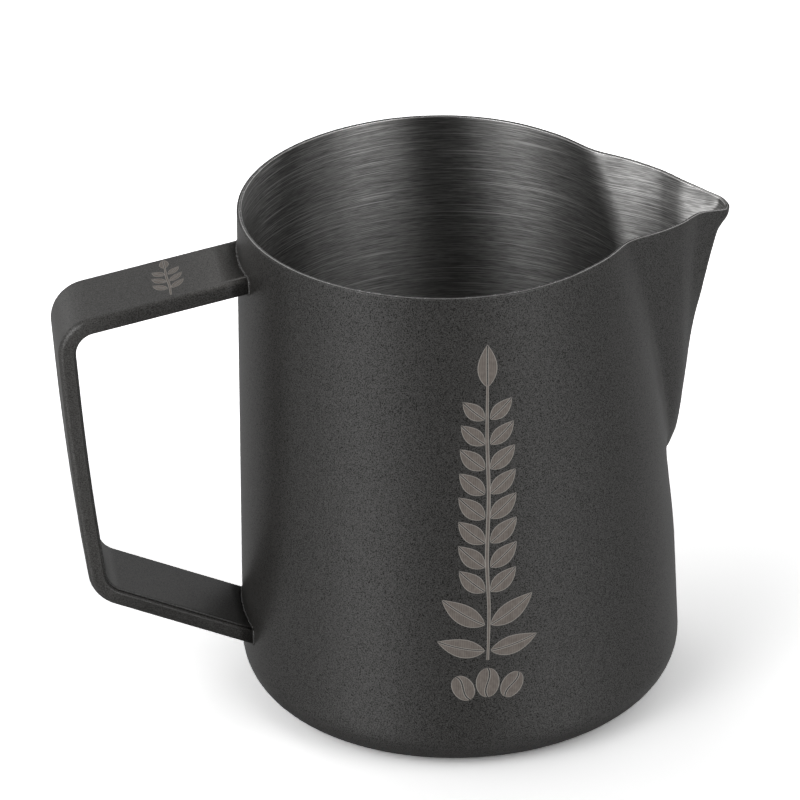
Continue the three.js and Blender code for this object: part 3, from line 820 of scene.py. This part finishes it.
def bead(name, cad_piece, end, inner, seed):
    foot = resample_loop(end_points(end, inner, bead_outline(), 0.0), BEAD_N)
    for _ in range(2):
        foot = (np.roll(foot, 1, 0) + 2 * foot + np.roll(foot, -1, 0)) / 4
    back = place(inner, [(0, 0)])[0] - place(end, [(0, 0)])[0]
    back /= np.linalg.norm(back)
    tangent = np.roll(foot, -1, 0) - np.roll(foot, 1, 0)
    tangent /= np.linalg.norm(tangent, axis=1, keepdims=True)
    theta = np.arctan2(foot[:, 1], foot[:, 0])
    off_body = np.stack([np.cos(theta), np.sin(theta), np.full(BEAD_N, 0.03)], -1)
    away = np.cross(tangent, off_body)
    away /= np.linalg.norm(away, axis=1, keepdims=True)
    if ((foot - foot.mean(0)) * away).sum() < 0:
        away = -away
    width = bead_size(BEAD_WIDTH, seed)
    height = bead_size(BEAD_BACK, seed + 2)
    # bead section as shares of width and height: a rounded quarter with its root sunk in
    profile = [(-0.25, -0.12), (0.9, -0.12)]
    for a in np.linspace(0, 90, 8):
        profile.append((math.cos(a * DEG) ** 0.9, math.sin(a * DEG) ** 0.9))
    profile.append((-0.25, 0.9))
    lines = [foot + away * (a * width) + back * (b * height) for a, b in profile]
    verts = np.stack(lines, 1).reshape(-1, 3)
    faces = outward(verts, ring_faces(len(profile), BEAD_N, True))
    register(make_object(name, verts, faces, [MAT_WELD]), cad_piece)


bead("weld_upper", "upper_weld_bead", STATIONS[0], STATIONS[1], seed=11)
bead("weld_lower", "lower_weld_bead", STATIONS[-1], STATIONS[-2], seed=23)

# ------------------------------------------------------------------ etched marks: a coffee sprig
# Marks are drawn flat in (u, v) with v along the stem, then laid on the body or the handle.
# Every point also carries an edge share: 1 on an outline, 0 inside.
MARK_PROUD, MARK_DEPTH = 0.012, 0.06
LEAF_N = 26             # points along a leaf or a bean


def ribbon(axis, across, lines):
    """grid of (u, v, edge) from lines of (offset from the axis, edge share)"""
    return np.stack([
        np.concatenate([axis + across * offset[:, None], np.full((len(axis), 1), edge)], 1)
        for offset, edge in lines
    ], 1)


def sheet(grid):
    rows, n = grid.shape[:2]
    faces = []
    for i in range(rows - 1):
        for j in range(n - 1):
            a = i * n + j
            faces.append((a, a + 1, a + n + 1, a + n))
    return grid.reshape(-1, 3), faces


def half_leaf(axis, across, side, low, high, edge_w):
    """one side of a leaf or a bean, from offset low to offset high"""
    border = np.minimum(edge_w, (high - low) * 0.42)
    lines = ((low, 1.0), (low + border, 0.0), ((low + high) / 2, 0.0), (high - border, 0.0),
             (high, 1.0))
    grid = ribbon(axis, side * across, lines)
    grid[0, :, 2] = 1.0
    grid[-1, :, 2] = 1.0
    return sheet(grid[:, ::-1] if side < 0 else grid)


def heading(angle):
    along = np.array([math.cos(angle * DEG), math.sin(angle * DEG)])
    return along, np.array([-along[1], along[0]])


def across_line(line):
    tangent = np.gradient(line, axis=0)
    tangent /= np.linalg.norm(tangent, axis=1, keepdims=True)
    return np.stack([-tangent[:, 1], tangent[:, 0]], -1)


def blade(foot, angle, length, width, bend=0.0, split=0.11, edge_w=0.20):
    """a pointed leaf in two halves with a bare middle line"""
    along, aside = heading(angle)
    s = np.linspace(0.0, 1.0, LEAF_N)
    half_w = np.maximum(width / 2 * np.sin(math.pi * s ** 0.85) ** 0.85, 0.06)
    axis = np.array(foot)[None] + length * (s[:, None] * along + bend * (s ** 2)[:, None] * aside)
    across = across_line(axis)
    low = np.minimum(split, half_w * 0.5)
    return [half_leaf(axis, across, side, low, half_w, edge_w) for side in (-1, 1)]


def bean(centre, angle, length, width):
    """an oval in two halves with a bare S-shaped middle line"""
    split, edge_w = 0.14, 0.2
    along, aside = heading(angle)
    s = np.linspace(0.0, 1.0, LEAF_N)
    x = -np.cos(math.pi * s) * length / 2
    half_w = width / 2 * np.sqrt(np.maximum(0, 1 - (x / (length / 2)) ** 2))
    half_w = np.maximum(half_w, 0.05)
    curl = 0.22 * half_w * np.sin(2 * math.pi * s)
    axis = np.array(centre)[None] + x[:, None] * along
    gap = np.minimum(split, half_w * 0.4)
    return [half_leaf(axis, aside, side, side * curl + gap, half_w, edge_w) for side in (-1, 1)]


def stem(points, width):
    points = np.array(points, float)
    run = run_lengths(points)
    t = np.linspace(0, run[-1], 60)
    axis = np.stack([pchip(run, points[:, k])(t) for k in range(2)], -1)
    t = np.linspace(0, 1, len(axis))
    half_w = width / 2 * (0.35 + 0.65 * np.sin(math.pi * np.clip(t, 0.06, 0.94)) ** 0.4)
    lines = [(half_w * k, edge) for k, edge in ((-1, 1.0), (-0.35, 0.0), (0.35, 0.0), (1, 1.0))]
    return [sheet(ribbon(axis, across_line(axis), lines))]


def build_mark(name, parts, mapping, mat):
    verts, faces, edges, offset = [], [], [], 0
    for points, part_faces in parts:
        p, normals = mapping(points[:, 0], points[:, 1])
        # faces turn so that they look outwards
        middle = part_faces[len(part_faces) // 2]
        a, b, c = (p[i] for i in middle[:3])
        if np.dot(np.cross(b - a, c - a), normals[middle[0]]) < 0:
            part_faces = [tuple(reversed(f)) for f in part_faces]
        solid, solid_faces = thicken(p, normals, part_faces, MARK_DEPTH)
        verts.append(solid)
        edges += [points[:, 2], points[:, 2]]
        faces += [tuple(i + offset for i in f) for f in solid_faces]
        offset += len(solid)
    mark = make_object(name, np.vstack(verts), faces, [mat], smooth_shade=False,
                       attrs={"edge": np.concatenate(edges)})
    register(mark)


BODY_MARK_Z = 54.6
BODY_MARK_DEG, BODY_MARK_LEAN = -89.95, 0.0333      # place round the body; degrees per mm of v
HANDLE_MARK_X = -56.7


def on_body(u, v):
    z = BODY_MARK_Z + v
    theta = (BODY_MARK_DEG + BODY_MARK_LEAN * v) * DEG + u / cone(z)
    p, normal = surface(theta, z)
    return p + normal * MARK_PROUD, normal


def on_handle(u, v):
    """flush on the upper arm, with u along the arm towards the body"""
    (x0, z0), (x1, z1) = HANDLE_PATH[0][:2], HANDLE_PATH[1][:2]
    arm = np.array([x0 - x1, z0 - z1])
    arm /= np.linalg.norm(arm)
    x = HANDLE_MARK_X + arm[0] * u
    p = np.stack([x, v, z0 + (z1 - z0) * (x - x0) / (x1 - x0)], -1)
    normal = np.array([-arm[1], 0, arm[0]])
    return p + normal * MARK_PROUD, np.repeat(normal[None], len(p), 0)


def body_sprig():
    first_leaf, leaf_pitch = -13.2, 5.4
    # length and width of each pair of leaves, from the lowest up
    leaves = [(7.0, 3.7), (7.2, 3.8), (7.2, 3.8), (7.1, 3.8),
              (6.9, 3.7), (6.7, 3.6), (6.4, 3.4), (5.9, 3.2)]
    parts = stem([(0.0, -28.5), (0.25, -18), (-0.15, -6), (0.2, 8), (-0.1, 22), (0.0, 32.0)], 0.75)
    parts += blade((0.0, 31.6), 90, 9.0, 3.9)
    for i, (length, width) in enumerate(leaves):
        for side in (-1, 1):
            foot = (side * 0.55, first_leaf + leaf_pitch * i)
            parts += blade(foot, 90 - side * 52, length, width, bend=side * 0.10)
    for side in (-1, 1):
        parts += blade((side * 0.6, -20.6), 90 - side * 62, 10.2, 4.3, bend=side * 0.12)
        parts += blade((side * 0.6, -26.4), 90 - side * 84, 9.6, 4.1, bend=side * 0.14)
    parts += bean((0.0, -33.6), 90, 6.6, 4.7)
    for side in (-1, 1):
        parts += bean((side * 4.9, -34.6), 90 - side * 28, 6.0, 4.3)
    return parts


def handle_sprig():
    edge_w = 0.15
    parts = stem([(0.0, -7.4), (0.12, -3.5), (-0.08, 0.5), (0.0, 4.4)], 0.5)
    parts += blade((0.0, 4.3), 90, 3.9, 1.9, split=0.10, edge_w=edge_w)
    for foot_v, length in ((-4.6, 4.0), (-1.6, 3.9), (1.4, 3.4)):
        for side in (-1, 1):
            parts += blade((side * 0.35, foot_v), 90 - side * 50, length, 1.75,
                           bend=side * 0.1, split=0.09, edge_w=edge_w)
    return parts


build_mark("etched_sprig_body", body_sprig(), on_body, MAT_MARK)
build_mark("etched_sprig_handle", handle_sprig(), on_handle, MAT_MARK_H)

# ------------------------------------------------------------------ floor (metres)
FLOOR_SEEN = 1.95       # how white the table looks
FLOOR_LIT = 0.40        # how much of the light it sends back to the pitcher
FLOOR_GLOSS = 0.35
FLOOR_HALF, FLOOR_CELLS, FLOOR_Z = 4.0, 40, -0.00002


def floor_material():
    """the camera sees white with a painted shadow round the pitcher's foot and painted light behind
    it; the pitcher is lit by a darker, slightly glossy floor
    """
    painted_light_behind, painted_shadow_to_spout, level = 0.19, -0.13, 1.07
    mat, g, bsdf = new_material("floor_white")
    cloud = g.noise(g.coords(1, 1, 1), scale=6.0, detail=2.0, rough=0.5)
    # painted light makes the floor brighter behind the pitcher (+Y); a painted shadow darkens it
    # close to the pitcher, leaning to the spout side (+X)
    at = g.object_coords()
    xyz = g.separate(at)
    far = g.length(at)
    behind = g.math("DIVIDE", xyz[1], far)
    painted_shadow_reach = g.ramp(far, (0.045, 1.0), (0.10, 0.0))
    aside = g.math("DIVIDE", xyz[0], far)
    level_with_painted_shadow = g.add(g.mul(g.mul(aside, painted_shadow_to_spout), painted_shadow_reach), level)
    tone = g.mul(g.add(g.mul(behind, painted_light_behind), level_with_painted_shadow), FLOOR_SEEN)
    tint = g.mul(tone, g.add(g.mul(cloud, 0.03), 0.985))
    grey = g.node("CombineXYZ", {0: tint, 1: tint, 2: tint}).outputs[0]
    seen = g.node("BsdfDiffuse", {"Color": grey}).outputs[0]
    lit_color = g.ramp(cloud, (0.3, FLOOR_LIT * 0.99), (0.7, FLOOR_LIT * 1.01))
    lit = g.node("BsdfDiffuse", {"Color": lit_color}).outputs[0]
    gloss = g.node("BsdfGlossy", {"Color": (0.9, 0.9, 0.9), "Roughness": 0.34}).outputs[0]
    lighting = g.mix_shader(FLOOR_GLOSS, lit, gloss)
    result = g.mix_shader(g.is_camera_ray(), lighting, seen)
    g.feed(g.tree.nodes["Material Output"], {"Surface": result})
    g.tree.nodes.remove(bsdf)
    return mat


def build_floor():
    mat = floor_material()
    me = bpy.data.meshes.new("floor")
    n = FLOOR_CELLS
    ticks = [-FLOOR_HALF + 2 * FLOOR_HALF * i / n for i in range(n + 1)]
    verts = [(x, y, FLOOR_Z) for y in ticks for x in ticks]
    corners = [j * (n + 1) + i for j in range(n) for i in range(n)]
    me.from_pydata(verts, [], [(a, a + 1, a + n + 2, a + n + 1) for a in corners])
    me.materials.append(mat)
    link(bpy.data.objects.new("floor", me))


build_floor()

# ------------------------------------------------------------------ light
# A ring of soft light round the table: strength at each azimuth from +X, in three belts of height.
# Two broad boxes stand at the front left and the front right, dark between them, with a weak
# fill behind.
AZIMUTHS = list(range(0, 181, 20)) + list(range(190, 360, 10))
LOW = [
    0.04, 0.49, 0.86, 0.53, 0.02, 0.29, 0.85, 0.53, 0.37, 0.44,
    0.52, 1.24, 3.43, 2.56, 1.98, 1.15, 0.21, 0.38, 0.0,
    0.47, 1.71, 1.87, 2.69, 1.74, 0.3, 0.41, 0.17,
]
MID = [
    0.58, 0.53, 0.58, 0.8, 0.0, 0.83, 0.55, 0.11, 0.85, 0.88,
    2.02, 3.13, 4.45, 3.8, 2.04, 0.0, 0.0, 0.0, 0.0,
    0.0, 1.68, 2.1, 2.52, 2.47, 1.94, 1.91, 1.03,
]
HIGH = [0.23, 0.31, 0.65, 0.0, 0.0, 0.42]       # every 60 degrees
PEAK = 5.0                                      # ramps hold strengths as shares of this
LOW_UP, MID_UP, HIGH_UP = 12, 35, 62            # elevation of each belt, degrees
PAPER = 1.05                                    # white that the camera sees behind the table


def build_world(scene):
    world = bpy.data.worlds.new("studio")
    scene.world = world
    world.use_nodes = True
    g = Graph(world.node_tree)
    g.tree.nodes.clear()
    x, y, z = g.separate(g.node("TexCoord").outputs["Generated"])
    full_turn = 2 * math.pi
    azimuth = g.math("WRAP", g.math("ARCTAN2", y, x), full_turn, 0.0)
    turn = g.math("DIVIDE", azimuth, full_turn)
    rise = g.math("DIVIDE", g.math("ARCSINE", z), math.pi / 2, clamp=True)

    def belt(angles, values, heights):
        stops = [(a / 360.0, v / PEAK) for a, v in zip(angles, values)]
        around = g.ramp(turn, *stops, (1.0, values[0] / PEAK))
        return g.mul(around, g.ramp(rise, *[(h / 90.0, v) for h, v in heights]))

    low = belt(AZIMUTHS, LOW, [(0, 1), (LOW_UP, 1), (MID_UP, 0), (90, 0)])
    mid = belt(AZIMUTHS, MID, [(0, 0), (LOW_UP, 0), (MID_UP, 1), (HIGH_UP, 0)])
    high = belt(range(0, 360, 60), HIGH, [(0, 0), (MID_UP, 0), (HIGH_UP, 1), (90, 1)])
    strength = g.mul(g.add(g.add(low, mid), high), PEAK)
    white = (1, 1, 1)
    ring = g.node("Background", {0: white, 1: strength}).outputs[0]
    paper = g.node("Background", {0: white, 1: PAPER}).outputs[0]
    g.node("OutputWorld", {0: g.mix_shader(g.is_camera_ray(), ring, paper)})


# ------------------------------------------------------------------ camera
CAM_PLACE = Vector((-0.14277833, -1.05024848, 0.62423187))      # metres
CAM_RIGHT = Vector((0.98985, -0.13930, -0.02802))
CAM_UP = Vector((0.08988, 0.46113, 0.88277))
CAM_BACK = Vector((-0.11005, -0.87633, 0.46897))
SENSOR_WIDTH, FOCAL_LENGTH = 36.0, 267.67179                    # mm
CAM_SHIFT = 0.000625                                            # share of the sensor width


def build_camera(scene):
    data = bpy.data.cameras.new("camera")
    data.sensor_width = SENSOR_WIDTH
    data.lens = FOCAL_LENGTH
    data.shift_x, data.shift_y = -CAM_SHIFT, CAM_SHIFT
    data.clip_start, data.clip_end = 0.05, 20
    camera = bpy.data.objects.new("camera", data)
    pose = Matrix((CAM_RIGHT, CAM_UP, CAM_BACK)).transposed().to_4x4()
    pose.translation = CAM_PLACE
    camera.matrix_world = pose
    scene.camera = link(camera)


scene = bpy.context.scene
build_world(scene)
build_camera(scene)
scene.view_settings.view_transform = "Standard"
scene.view_settings.look = "None"
